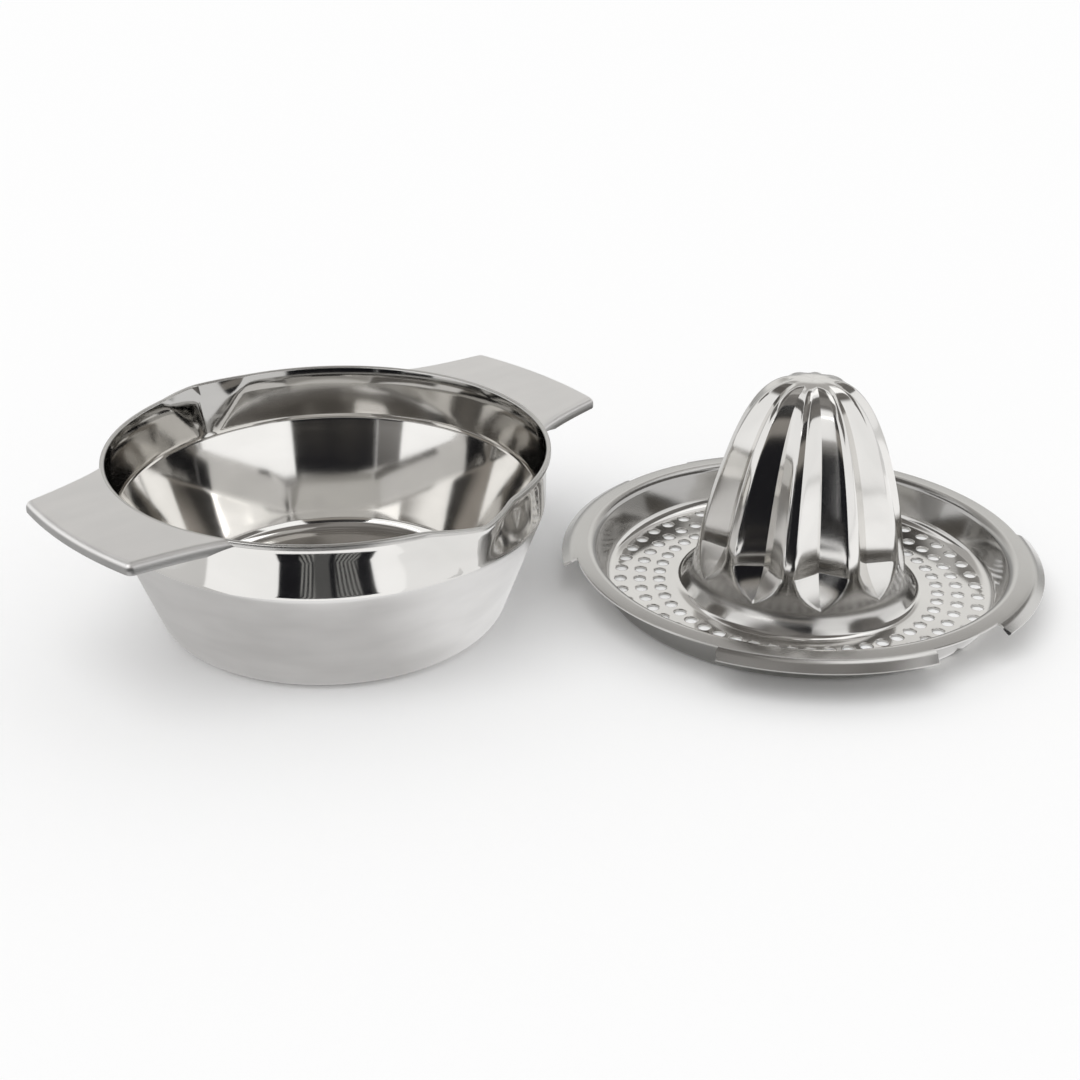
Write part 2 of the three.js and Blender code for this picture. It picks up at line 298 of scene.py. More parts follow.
class Bench:
    """Builds one material's or the world's nodes."""

    def __init__(self, owner: bpy.types.Material | bpy.types.World) -> None:
        """Clears the owner's nodes."""
        owner.use_nodes = True
        self.owner = owner
        self.tree = owner.node_tree
        self.tree.nodes.clear()

    def node(self, kind: str, settings: dict, inputs: dict) -> bpy.types.Node:
        """Adds a node.

        Args:
            kind: The node's type.
            settings: Its settings, which are set first. A ramp's stops go under "stops".
            inputs: Socket name or number to a number, colour, socket or Signal.

        Returns:
            The new node.
        """
        made = self.tree.nodes.new(kind)
        for key, value in settings.items():
            if key == "stops":
                self._set_stops(made.color_ramp, value)
            else:
                setattr(made, key, value)
        for key, value in inputs.items():
            source = value.socket if isinstance(value, Signal) else value
            if isinstance(source, bpy.types.NodeSocket):
                self.tree.links.new(source, made.inputs[key])
            else:
                made.inputs[key].default_value = source
        return made

    @staticmethod
    def _set_stops(ramp: bpy.types.ColorRamp, stops: list[tuple[float, Colour]]) -> None:
        """Puts stops on a colour ramp.

        Args:
            ramp: The ramp of a node that was just made.
            stops: Places between 0 and 1, each with its colour.
        """
        while len(ramp.elements) < len(stops):
            ramp.elements.new(1.0)
        for element, (place, colour) in zip(ramp.elements, stops):
            element.position = place
            element.color = (*colour, 1.0)

    def signal(self, kind: str, settings: dict, inputs: dict) -> Signal:
        """Adds a node and wraps its first output."""
        return Signal(self, self.node(kind, settings, inputs).outputs[0])

    def finish(self, shader: bpy.types.NodeSocket) -> None:
        """Sends a shader to the output.

        Args:
            shader: What the surface or the world looks like.
        """
        world = isinstance(self.owner, bpy.types.World)
        kind = "ShaderNodeOutputWorld" if world else "ShaderNodeOutputMaterial"
        self.node(kind, {}, {"Surface": shader})

    def place(self) -> tuple[Signal, Signal, Signal]:
        """Finds where on the piece the shader is.

        Returns:
            The surface's own coordinates in metres, which move with the piece.
        """
        coordinates = self.node("ShaderNodeTexCoord", {}, {})
        split = self.node("ShaderNodeSeparateXYZ", {}, {0: coordinates.outputs["Object"]})
        return tuple(Signal(self, split.outputs[axis]) for axis in range(3))

    def ray(self, kind: str) -> Signal:
        """1 where the surface is met by a ray of a kind such as Camera or Glossy, and 0 elsewhere."""
        return Signal(self, self.node("ShaderNodeLightPath", {}, {}).outputs[f"Is {kind} Ray"])

    def noise(self, at: tuple, scale: float, detail: float, roughness: float = 0.5) -> Signal:
        """Makes smooth noise.

        Args:
            at: The three values, numbers or Signals, at which the noise is read.
            scale: How fine it is.
            detail: How many finer layers it has.
            roughness: How strong the finer layers are.

        Returns:
            A value between 0 and 1.
        """
        vector = self.node("ShaderNodeCombineXYZ", {}, dict(enumerate(at))).outputs[0]
        inputs = {"Vector": vector, "Scale": scale, "Detail": detail, "Roughness": roughness}
        return self.signal("ShaderNodeTexNoise", {}, inputs)

    def blend(self, factor: Signal, first: Colour, second: Colour) -> bpy.types.NodeSocket:
        """A colour between two, by a factor."""
        return self.tint(factor, (*first, 1.0), second)

    def tint(self, factor: Signal, under: bpy.types.NodeSocket | tuple, over: Colour) -> bpy.types.NodeSocket:
        """A colour that is covered by another, by a factor."""
        inputs = {0: factor, 6: under, 7: (*over, 1.0)}
        return self.node("ShaderNodeMix", {"data_type": "RGBA"}, inputs).outputs[2]

    def bump(
        self, height: Signal, depth: float, before: bpy.types.NodeSocket | None = None,
    ) -> bpy.types.NodeSocket:
        """Bends the normal by a height.

        Args:
            height: The height, between 0 and 1.
            depth: How far 1 stands out, in millimetres.
            before: A normal that is bent already, if any.

        Returns:
            The normal's socket.
        """
        inputs = {"Height": height, "Distance": depth * MM, "Strength": 1.0}
        if before is not None:
            inputs["Normal"] = before
        return self.node("ShaderNodeBump", {}, inputs).outputs[0]


# Finishes


class Grain(Enum):
    """Which way the fine lines of a steel finish run."""

    ROUND = "round"
    ALONG_X = "along x"


@dataclass(frozen=True)
class Zone:
    """A part of a piece, told by its height and its distance from the piece's axis in millimetres.

    Each bound is a pair of numbers: the zone starts to show at the first and is full at the second.
    """

    heights: tuple[tuple[float, float], ...] = ()
    radii: tuple[tuple[float, float], ...] = ()

    def share(self, radius: Signal, z: Signal) -> Signal:
        """Finds the zone on the surface.

        Args:
            radius: The distance from the piece's axis in metres.
            z: The height in metres.

        Returns:
            1 in the zone and 0 outside it.
        """
        bounds = [z.ramp(out * MM, full * MM) for out, full in self.heights]
        bounds += [radius.ramp(out * MM, full * MM) for out, full in self.radii]
        return reduce(mul, bounds)


ZoneShares = tuple[tuple[Zone, float], ...]
# COLLAR, TROUGH_WALL, FLANGE, BAND and TURNED_EDGE mark where painted shade darkens the steel; COLLAR_TOP and
# FLANGE_AND_BEND mark where it is rougher.
COLLAR = Zone(heights=((12.0, 8.0),), radii=((39.5, 37.5),))
COLLAR_TOP = Zone(heights=((16.0, 12.0),), radii=((37.5, 36.0),))
TROUGH_WALL = Zone(radii=((63.5, 66.0), (70.5, 68.5)))
FLANGE = Zone(radii=((69.5, 71.0),))
FLANGE_AND_BEND = Zone(radii=((67.5, 69.0),))
BAND = Zone(heights=((37.0, 41.0),))
TURNED_EDGE = Zone(heights=((-0.8, -1.6),))


@dataclass(frozen=True)
class SteelFinish:
    """Stainless steel, from mirror polish to satin.

    Lines are the fine marks that polishing leaves, and smears the broad ones. Waves are the slight
    unevenness of pressed sheet. Inside cone_radius the lines run upright. In some zones the steel's
    colour is darkened by a share: this is painted shade, for the shade and dark reflections in tight
    corners, on walls and on edges that face down. In its rough zones its roughness is higher; the
    zones are those of the one piece that has the finish. grain_turn is how far lines along X are
    turned about +Z.
    """

    name: str
    light: Colour
    dark: Colour
    roughness: float
    roughness_spread: float
    line_depth: float
    line_pitch: float
    wave_depth: float
    wave_length: float
    grain: Grain = Grain.ROUND
    grain_turn: float = 0.0
    anisotropy: float = 0.0
    cone_radius: float = 0.0
    # Zones of painted shade, each with the share by which the colour is darkened there.
    painted_shade: ZoneShares = ()
    rough: ZoneShares = ()
    line_detail: float = 3.0
    line_roughness: float = 0.65
    lines_round: float = 3.0
    lines_along_per_metre: float = 60.0
    upright_lines_per_metre: float = 25.0
    smear_detail: float = 2.0
    smears_round: float = 2.0
    smears_along_per_metre: float = 25.0
    smears_per_metre: float = 90.0
    clouds_per_metre: float = 38.0
    cloud_detail: float = 3.0
    cloud_share: float = 0.4
    tone_range: tuple[float, float] = (0.3, 0.7)
    # How much the painted shade varies with the smears, from least to most.
    painted_shade_range: tuple[float, float] = (0.8, 1.2)

    @staticmethod
    def total(zones: ZoneShares, radius: Signal, z: Signal) -> Signal | float:
        """Adds up what a finish has in its zones.

        Args:
            zones: The zones, each with its amount.
            radius: The distance from the piece's axis in metres.
            z: The height in metres.

        Returns:
            The amount at this place.
        """
        amount_here = 0.0
        for zone, amount in zones:
            amount_here = zone.share(radius, z) * amount + amount_here
        return amount_here

    def marks(
        self, bench: Bench, place: tuple[Signal, Signal, Signal], radius: Signal,
    ) -> tuple[Signal, Signal]:
        """Draws the marks that polishing leaves, round the axis or along the piece.

        Args:
            bench: Where the nodes go.
            place: The surface's own coordinates in metres.
            radius: The distance from the piece's axis in metres.

        Returns:
            The fine lines and the broader smears, each between 0 and 1.
        """
        x, y, z = place
        across = 1.0 / (self.line_pitch * MM)
        fine = (1.0, self.line_detail, self.line_roughness)
        broad = (1.0, self.smear_detail)
        if self.grain is Grain.ALONG_X:
            cos, sin = math.cos(math.radians(self.grain_turn)), math.sin(math.radians(self.grain_turn))
            along = x * cos + y * sin
            side = y * cos - x * sin
            lines = bench.noise((along * self.lines_along_per_metre, side * across, z * across), *fine)
            long, short = self.smears_along_per_metre, self.smears_per_metre
            return lines, bench.noise((along * long, side * short, z * short), *broad)
        reach = radius.math("MAXIMUM", MM)
        east, north = x / reach, y / reach
        few = self.lines_round
        lines = bench.noise((east * few, north * few, (radius + z) * across), *fine)
        few = self.smears_round
        smears = bench.noise((east * few, north * few, (radius + z) * self.smears_per_metre), *broad)
        if self.cone_radius > 0:
            around = self.cone_radius / self.line_pitch
            upright_at = (east * around, north * around, z * self.upright_lines_per_metre)
            upright = bench.noise(upright_at, *fine)
            plate = radius.ramp(self.cone_radius * MM, (self.cone_radius + 1.0) * MM)
            lines = upright * (1.0 - plate) + lines * plate
        return lines, smears

    def build(self) -> bpy.types.Material:
        """Makes the material.

        Returns:
            The material, whose pattern follows the piece's own coordinates.
        """
        material = bpy.data.materials.new(self.name)
        bench = Bench(material)
        place = bench.place()
        x, y, z = place
        radius = (x * x + y * y).math("SQRT")
        lines, smears = self.marks(bench, place, radius)
        waves = bench.noise(place, 1.0 / (self.wave_length * MM), 1.0)
        cloud = bench.noise(place, self.clouds_per_metre, self.cloud_detail)
        tone = (smears * (1.0 - self.cloud_share) + cloud * self.cloud_share).ramp(*self.tone_range)
        rough = self.roughness + self.roughness_spread * (lines * 0.5 + tone * 0.5)
        rough = rough + self.total(self.rough, radius, z)
        normal = bench.bump(waves, self.wave_depth)
        normal = bench.bump(lines, self.line_depth, normal)
        colour = bench.blend(tone, self.dark, self.light)
        # Painted shade: the colour is darkened in its zones, a little more or less with the smears.
        least, most = self.painted_shade_range
        painted_shade = (least + (most - least) * smears) * self.total(self.painted_shade, radius, z)
        colour = bench.tint(painted_shade, colour, NO_COLOUR)
        steel = bench.node("ShaderNodeBsdfPrincipled", {}, {
            "Base Color": colour,
            "Metallic": 1.0,
            "Roughness": rough,
            "Anisotropic": self.anisotropy,
            "Normal": normal,
        })
        bench.finish(steel.outputs[0])
        return material


MIRROR = SteelFinish(
    name="mirror_steel", light=(0.80, 0.787, 0.765), dark=(0.74, 0.728, 0.706),
    roughness=0.045, roughness_spread=0.06, line_depth=0.0006, line_pitch=0.35,
    wave_depth=0.12, wave_length=34.0,
)
# Painted shade: the inner face's band is darkened for its dark reflections.
INSIDE = replace(
    MIRROR, name="inside_steel", light=(0.92, 0.905, 0.88), dark=(0.86, 0.846, 0.82), painted_shade=((BAND, 0.42),),
)
PRESSED = SteelFinish(
    name="pressed_steel", light=(0.80, 0.787, 0.765), dark=(0.72, 0.708, 0.688),
    roughness=0.06, roughness_spread=0.08, line_depth=0.0012, line_pitch=0.32,
    wave_depth=0.10, wave_length=26.0, cone_radius=35.2,
    # Painted shade: darker in the collar's tight corner, on the trough's wall and on the flange, for their
    # shade and dark reflections.
    painted_shade=((COLLAR, 0.2), (TROUGH_WALL, 0.42), (FLANGE, 0.22)),
    rough=((FLANGE_AND_BEND, 0.10), (COLLAR_TOP, 0.15)),
)
BRUSHED = SteelFinish(
    name="brushed_steel", light=(0.76, 0.75, 0.74), dark=(0.66, 0.65, 0.64),
    roughness=0.26, roughness_spread=0.10, line_depth=0.004, line_pitch=0.30,
    wave_depth=0.10, wave_length=40.0, anisotropy=0.4,
)
ROLLED = SteelFinish(
    name="rolled_steel", light=(0.64, 0.63, 0.61), dark=(0.56, 0.55, 0.535),
    roughness=0.24, roughness_spread=0.08, line_depth=0.001, line_pitch=0.30,
    wave_depth=0.04, wave_length=30.0,
)
SATIN = SteelFinish(
    name="satin_steel", light=(0.88, 0.868, 0.855), dark=(0.82, 0.81, 0.798),
    roughness=0.36, roughness_spread=0.08, grain=Grain.ALONG_X, line_depth=0.002, line_pitch=0.25,
    # Painted shade: the handles' turned-down edges, which face down, are darkened.
    wave_depth=0.06, wave_length=30.0, grain_turn=42.3, painted_shade=((TURNED_EDGE, 0.52),),
)


# Pieces


def settle(piece: bpy.types.Object, node: str, body: str, turn: float, spot: Place) -> None:
    """Puts a piece in its place in the frame, in a CAD node's stead.

    Args:
        piece: The new piece, made about its own axis.
        node: The CAD node that it stands for.
        body: The body that it moves with.
        turn: How far it is turned about +Z.
        spot: Where its axis meets the table, in millimetres.
    """
    piece.data.transform(Matrix.Rotation(math.radians(turn), 4, "Z"))
    piece.location = tuple(value * MM for value in spot)
    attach(piece, body)
    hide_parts(node)
    LOG.info("%s stands for %s on body %s", piece.name, node, body)


class BowlSlot(IntEnum):
    """The bowl's material slots, in their order."""

    BAND = 0
    WALL = 1
    HEM = 2
    INSIDE = 3


@dataclass
class Bowl:
    """The bowl: base, lower wall, polished band, folded rim and two pouring lips."""

    turn: float = 42.3
    sheet: float = 0.8
    base_radius: float = 55.3
    base_fillet: float = 6.8
    band_radius: float = 69.4
    band_bottom: float = 38.2
    band_bend: float = 8.0
    band_spread: float = 0.15
    rim_radius: float = 71.0
    height: float = 56.7
    hem_height: float = 2.0
    hem_width: float = 1.5
    hem_rounding: float = 0.72
    hem_crease_rise: float = 0.25
    hem_crease_fillet: float = 0.2
    hem_foot_fillet: float = 0.45
    hem_slack: float = 0.1
    flare_height: float = 4.0
    flare_spread: float = 0.5
    lip_reach: float = 4.8
    lip_dip: float = 1.3
    lip_half_angle: float = 12.5
    lip_foot_half_angle: float = 3.0
    lip_rounding_share: float = 0.12
    lip_ease: float = 0.1
    lip_end: float = 2.2
    crowding_share: float = 0.62
    longest_stretch: float = 2.5
    columns: int = 400
    fillet_steps: int = 10
    hem_steps: int = 6

    def outer_path(self) -> np.ndarray:
        """Draws the wall's outer face.

        Returns:
            Its points, from the middle of the base to where the rim flares.
        """
        return filleted([
            Corner(0.0, 0.0),
            Corner(self.base_radius, 0.0, self.base_fillet),
            Corner(self.band_radius, self.band_bottom, self.band_bend),
            Corner(self.band_radius + self.band_spread, self.height - self.flare_height),
        ], self.fillet_steps)

    def hem_path(self, start: np.ndarray, end: np.ndarray) -> np.ndarray:
        """The folded rim between the two faces of the wall.

        Args:
            start: Where the outer face ends.
            end: Where the inner face starts.

        Returns:
            The points between the two.
        """
        under = self.height - self.hem_height
        return filleted([
            Corner(*start),
            Corner(start[0] + self.flare_spread, under + self.hem_crease_rise, self.hem_crease_fillet),
            Corner(self.rim_radius, under, self.hem_foot_fillet),
            Corner(self.rim_radius, self.height, self.hem_rounding),
            Corner(self.rim_radius - self.hem_width, self.height, self.hem_rounding),
            Corner(*end),
        ], self.hem_steps)[1:-1]

    def densify(self, path: np.ndarray) -> np.ndarray:
        """Splits a path's long stretches, so that lips can be pressed into them.

        Args:
            path: The points, one row each.

        Returns:
            The path with points added on its straight stretches.
        """
        points = [path[:1]]
        for low, high in zip(path[:-1], path[1:]):
            count = max(1, math.ceil(float(np.linalg.norm(high - low)) / self.longest_stretch))
            points.append(low + (high - low) * np.linspace(0, 1, count + 1)[1:, None])
        return np.concatenate(points)

    def press_lips(self, radius: np.ndarray, angle: np.ndarray, height: np.ndarray) -> np.ndarray:
        """Presses the lips out of the band at +Y and -Y.

        Args:
            radius: Radius by row and column.
            angle: Angle by row and column.
            height: Height by row and column.

        Returns:
            The pressed points.
        """
        rise = np.clip((height - self.band_bottom) / (self.height - self.band_bottom), 0, 1)
        slope = np.tan(angle)
        from_lip = np.abs(np.arctan(1 / np.where(np.abs(slope) < TINY, TINY, slope)))
        foot, full = math.radians(self.lip_foot_half_angle), math.radians(self.lip_half_angle)
        half_angle = foot + (full - foot) * rise
        rounding = self.lip_rounding_share
        spread = np.hypot(from_lip / half_angle, rounding) - rounding
        press = (1 - spread + np.sqrt((1 - spread) ** 2 + self.lip_ease ** 2)) / 2 * rise
        press *= np.clip(self.lip_end - spread, 0, 1)
        return round_grid(radius + self.lip_reach * press, angle, height - self.lip_dip * press * rise)

    def build(self, band: bpy.types.Material, wall: bpy.types.Material, hem: bpy.types.Material,
              inside: bpy.types.Material) -> bpy.types.Object:
        """Makes the bowl.

        Args:
            band: The outer band's finish.
            wall: The lower wall's finish.
            hem: The folded rim's finish.
            inside: The inner face's finish.

        Returns:
            The bowl's object.
        """
        outer = self.outer_path()
        inner = offset(outer, self.sheet)
        fold = self.hem_path(outer[-1], inner[-1])
        path = self.densify(np.concatenate([outer, fold, inner[::-1]]))
        even = np.arange(self.columns) * 2 * math.pi / self.columns
        angles = even + self.crowding_share / 2 * np.sin(2 * even)
        grid = self.press_lips(*turned(path, angles))
        heights = (path[1:, 1] + path[:-1, 1]) / 2
        outside = np.arange(len(heights)) < int(np.argmax(path[:, 1]))
        radii = (path[1:, 0] + path[:-1, 0]) / 2
        hem_inside = self.rim_radius - self.hem_width - self.hem_slack
        hem_foot = self.height - self.hem_height - 2 * self.hem_slack
        slots = np.where(heights < self.band_bottom, BowlSlot.WALL, BowlSlot.BAND)
        slots = np.where(outside, slots, BowlSlot.INSIDE)
        slots[(radii > hem_inside) & (heights > hem_foot)] = BowlSlot.HEM
        maker = MeshMaker()
        maker.add_grid(grid, wrap=True, slots=slots)
        return maker.build("bowl_steel", [band, wall, hem, inside], THIN_CREASE)


@dataclass
class Handle:
    """A handle along +X: sheet flush with the rim, with its sides and tip turned down."""

    bowl: Bowl
    reach: float = 22.9
    tip_half_width: float = 28.9
    tip_bulge: float = 2.8
    root_half_width: float = 36.0
    waist_along_share: float = 0.27
    waist_across_share: float = 0.44
    corner_radius: float = 2.5
    sheet: float = 0.9
    edge_depth: float = 3.7
    edge_rounding: float = 2.2
    flat_margin: float = 0.25
    taper_length: float = 5.0
    taper_power: int = 8
    root_sink: float = 0.4
    over_lift: float = 0.32
    under_lift: float = 0.35
    foot_line: tuple[tuple[float, float], ...] = (
        (0.0, 0.3), (0.13, 0.1), (0.45, 0.0), (0.77, 0.1), (0.9, 0.3),
    )
    over_steps: int = 9
    under_steps: int = 7
    corner_room_share: float = 1.15
    corner_steps: int = 10
    side_steps: int = 40
    tip_steps: int = 41
    columns: int = 220

    def outline(self) -> np.ndarray:
        """Draws the plan of the edge.

        Returns:
            Its points, from the root on one side round the tip to the root on the other.
        """
        rim = self.bowl.rim_radius
        corner = np.array([rim + self.reach - self.tip_bulge, self.tip_half_width])
        root_x = math.sqrt(rim ** 2 - self.root_half_width ** 2)
        root = np.array([root_x, self.root_half_width])
        waist = np.array([
            root_x + (corner[0] - root_x) * self.waist_along_share,
            self.tip_half_width + (self.root_half_width - self.tip_half_width) * self.waist_across_share,
        ])
        inside = root + (root - waist) / np.linalg.norm(root - waist) * self.taper_length
        t = np.linspace(0, 1, self.side_steps)[:, None]
        side = (1 - t) ** 2 * root + 2 * t * (1 - t) * waist + t ** 2 * corner
        tip_radius = (self.tip_half_width ** 2 + self.tip_bulge ** 2) / (2 * self.tip_bulge)
        half = math.asin(self.tip_half_width / tip_radius)
        turn = np.linspace(half, -half, self.tip_steps)[1:-1]
        centre = rim + self.reach - tip_radius
        tip = np.stack([centre + tip_radius * np.cos(turn), tip_radius * np.sin(turn)], axis=1)
        room = self.corner_radius * self.corner_room_share
        side = side[np.linalg.norm(side - corner, axis=1) > room]
        tip = tip[np.abs(np.abs(tip[:, 1]) - self.tip_half_width) > room]
        upper = [Corner(*point) for point in np.vstack([inside, side])]
        upper.append(Corner(corner[0], corner[1], self.corner_radius))
        lower = [Corner(place.radius, -place.height, place.fillet) for place in reversed(upper)]
        return filleted([*upper, *(Corner(*point) for point in tip), *lower], self.corner_steps)

    def rows(self) -> list[tuple[float, float, float]]:
        """Draws the edge's cross-section.

        Returns:
            For each line: its inset, its depth below the top, and how far it stays off the edge's foot.
        """
        over, under = self.edge_rounding, self.edge_rounding - self.sheet
        flat = over + self.flat_margin
        rows = [(flat, 0.0, 0.0)]
        for turn in np.linspace(0, math.pi / 2, self.over_steps):
            rows.append((over - over * math.sin(turn), over * (1 - math.cos(turn)), self.over_lift))
        rows.extend((inset, self.edge_depth - lift, lift) for inset, lift in self.foot_line)
        for turn in np.linspace(math.pi / 2, 0, self.under_steps):
            depth = self.sheet + under * (1 - math.cos(turn))
            rows.append((over - under * math.sin(turn), depth, self.under_lift))
        rows.append((flat, self.sheet, 0.0))
        return rows

    def edge_row(self, outline: np.ndarray, inset: float, depth: float, lift: float) -> np.ndarray:
        """One line of the edge, drawn in from the outline and cut off inside the rim.

        Args:
            outline: The plan of the edge.
            inset: How far the line is drawn in.
            depth: How deep it lies below the top.
            lift: How far it stays off the foot where the edge tapers at the rim.

        Returns:
            Its points.
        """
        path = offset(outline, -inset) if inset > 0 else outline
        root = self.bowl.rim_radius - self.root_sink
        reach = np.hypot(path[:, 0], path[:, 1])
        beyond = np.flatnonzero(reach > root)
        first, last = beyond[0], beyond[-1]
        start = first - (reach[first] - root) / (reach[first] - reach[first - 1])
        end = last + (reach[last] - root) / (reach[last] - reach[last + 1])
        t = np.linspace(0, 1, self.columns)
        top = len(path) - 1
        index = t * top + start * (1 - t) ** self.taper_power - (top - end) * t ** self.taper_power
        x = np.interp(index, np.arange(len(path)), path[:, 0])
        y = np.interp(index, np.arange(len(path)), path[:, 1])
        hem = self.bowl.hem_height
        share = np.clip((np.hypot(x, y) - self.bowl.rim_radius) / self.taper_length, 0, 1)
        foot = hem + (self.edge_depth - hem) * share
        return np.stack([x, y, -np.minimum(depth, foot - lift)], axis=1)

    def build(self, name: str, satin: bpy.types.Material) -> bpy.types.Object:
        """Makes a handle.

        Args:
            name: The object's name.
            satin: Its finish.

        Returns:
            The handle's object.
        """
        outline = self.outline()
        grid = np.stack([self.edge_row(outline, *row) for row in self.rows()])
        maker = MeshMaker()
        maker.add_grid(grid)
        arcs = []
        for line in (grid[0], grid[-1]):
            ends = np.arctan2(line[[-1, 0], 1], line[[-1, 0], 0])
            turn = np.linspace(*ends, self.side_steps)
            root = self.bowl.rim_radius - self.root_sink
            arc = round_grid(root, turn, np.full(self.side_steps, line[0, 2]))
            arc[0], arc[-1] = line[-1], line[0]
            maker.add_face(np.concatenate([line, arc[1:-1]]))
            arcs.append(arc)
        maker.add_grid(np.stack(arcs))
        for column in (0, -1):
            maker.add_face(grid[:, column])
        return maker.build(name, [satin], HANDLE_CREASE)


@dataclass
class Reamer:
    """The reamer and strainer: one pressed sheet from the cone's top to the tabs."""

    bowl: Bowl
    turn: float = 34.5
    direction: float = 4.7
    stand_apart: float = 5.0
    sheet: float = 0.8
    collar_radius: float = 34.4
    collar_fillet: float = 7.0
    collar_lean: float = 0.7
    collar_foot: float = 5.1
    foot_radius: float = 39.8
    foot_fillet: float = 3.5
    shoulder: float = 19.0
    shoulder_step: float = 0.5
    height: float = 73.9
    round_power: float = 1 / 3
    flute_count: int = 10
    flute_turn: float = 22.5
    flute_depth_share: float = 0.165
    flute_tip_height: float = 8.5
    flute_end_slope: float = 0.386
    flute_fade_rise: float = 0.98
    shoulder_ease: float = 0.09
    ridge_ease: float = 0.02
    flute_flank_share: float = 0.8
    cone_margin: float = 4.0
    wall_clearance: float = 0.5
    wall_height: float = 13.8
    wall_lean: float = 4.05
    trough_fillet: float = 4.2
    flange_bend: float = 3.0
    flange_reach: float = 4.0
    flange_drop: float = 0.5
    flange_edge: float = 0.18
    tab_reach: float = 8.2
    tab_drop: float = 2.9
    tab_bend: float = 5.0
    tab_bend_reach: float = 0.95
    tab_corner: float = 1.1
    tab_tip: float = 0.2
    tab_count: int = 4
    handle_gap: float = 28.2
    lip_gap: float = 10.8
    hole_radius: float = 2.0
    hole_edge: float = 0.28
    hole_margin: float = 0.15
    hole_turn_share: float = 0.3
    hole_burr: float = 0.12
    hole_burr_spread: float = 0.1
    hole_rings: tuple[float, ...] = (46.3, 52.85, 59.4)
    ring_edges: tuple[float, ...] = (43.1, 49.575, 56.125, 61.9)
    holes_per_ring: int = 48
    columns: int = 480
    cone_rows: int = 44
    collar_rows: int = 16
    flange_rows: int = 14
    seam_slack: float = 0.05
    shift_length: float = 4.0
    fillet_steps: int = 9

    def wall_top(self) -> float:
        """The radius of the trough wall's upper face at the flange."""
        return self.bowl.rim_radius - self.bowl.hem_width - self.wall_clearance - self.sheet

    def spot(self) -> Place:
        """Finds its place beside the bowl.

        Returns:
            Where its axis meets the table.
        """
        distance = 2 * self.bowl.rim_radius + self.tab_reach + self.stand_apart
        turn = math.radians(self.direction)
        return (distance * math.cos(turn), distance * math.sin(turn), 0.0)

    def cone_path(self) -> np.ndarray:
        """Draws the ridge line.

        Returns:
            Its points, from the top of the cone down to the shoulder.
        """
        rise = 1 - (np.arange(self.cone_rows + 1) / self.cone_rows) ** 2
        radius = self.collar_radius * (1 - rise) ** self.round_power
        return np.stack([radius, self.shoulder + (self.height - self.shoulder) * rise], axis=1)

    def upper_path(self) -> np.ndarray:
        """Draws the sheet's upper face.

        Returns:
            Its points, from the top of the cone to the tabs' edge.
        """
        wall_top = self.wall_top()
        rim = self.bowl.rim_radius
        flange = self.sheet + self.wall_height
        lower = filleted([
            Corner(self.collar_radius, self.shoulder - self.shoulder_step),
            Corner(self.collar_radius + self.collar_lean, self.sheet + self.collar_foot, self.collar_fillet),
            Corner(self.foot_radius, self.sheet, self.foot_fillet),
            Corner(wall_top - self.wall_lean, self.sheet, self.trough_fillet),
            Corner(wall_top, flange, self.flange_bend),
            Corner(rim + self.flange_reach + self.tab_bend_reach, flange - self.flange_drop, self.tab_bend),
            Corner(rim + self.tab_reach, flange - self.tab_drop),
        ], self.fillet_steps)
        collar = np.linspace(lower[0], lower[1], self.collar_rows)
        return np.concatenate([self.cone_path(), collar, lower[2:]])

    def press_flutes(self, radius: np.ndarray, angle: np.ndarray, height: np.ndarray) -> np.ndarray:
        """Presses the flutes into the cone and its collar.

        Args:
            radius: Radius by row and column.
            angle: Angle by row and column.
            height: Height by row and column.

        Returns:
            The pressed points.
        """
        pitch = 2 * math.pi / self.flute_count
        turned_back = angle - math.radians(self.flute_turn)
        across = np.abs(turned_back - np.round(turned_back / pitch) * pitch)
        rise = (height - self.shoulder) / (self.height - self.shoulder)
        climb = np.clip(rise, 0, 1)
        eased = (rise + np.sqrt(rise ** 2 + (self.shoulder_ease * (1 - climb) ** 2) ** 2)) / 2
        on_cone = (radius < self.collar_radius + self.cone_margin) & (height > self.flute_tip_height)
        below = np.clip((self.shoulder - height) / (self.shoulder - self.flute_tip_height), 0, 1)
        slimmer = (np.maximum(1 - eased, TINY) / np.maximum(1 - climb, TINY)) ** self.round_power
        ridge = radius * (1 - (1 - slimmer) * (1 - below ** 2))
        valley = 1 - self.flute_depth_share
        edge = pitch / 2 * self.flute_flank_share
        chord = valley * math.sin(edge) / (np.sin(edge - across) + valley * np.sin(across))
        close = self.flute_end_slope * below + (1 - self.flute_end_slope) * below ** 2
        fade = np.clip((rise - self.flute_fade_rise) / (1 - self.flute_fade_rise), 0, 1)
        flank = chord + self.flute_depth_share * close
        flank += (1 - flank) * fade ** 2 * (3 - 2 * fade) * (fade > 0)
        ease = self.ridge_ease * np.clip(2 - 2 * below, 0, 1)
        pressed = (flank + 1 - np.sqrt((flank - 1) ** 2 + ease ** 2)) / 2 * ridge
        return round_grid(np.where(on_cone, pressed, radius), angle, height)

    def plate_rise(self, radius: np.ndarray) -> np.ndarray:
        """Finds how far the plate has begun to turn up into the trough's wall.

        Args:
            radius: Distances from the axis.

        Returns:
            The plate's height there above its flat middle.
        """
        lean = math.atan2(self.wall_height, self.wall_lean)
        flat_end = self.wall_top() - self.wall_lean - self.trough_fillet * math.tan(lean / 2)
        past = np.maximum(radius - flat_end, 0)
        return self.trough_fillet - np.sqrt(self.trough_fillet ** 2 - past ** 2)

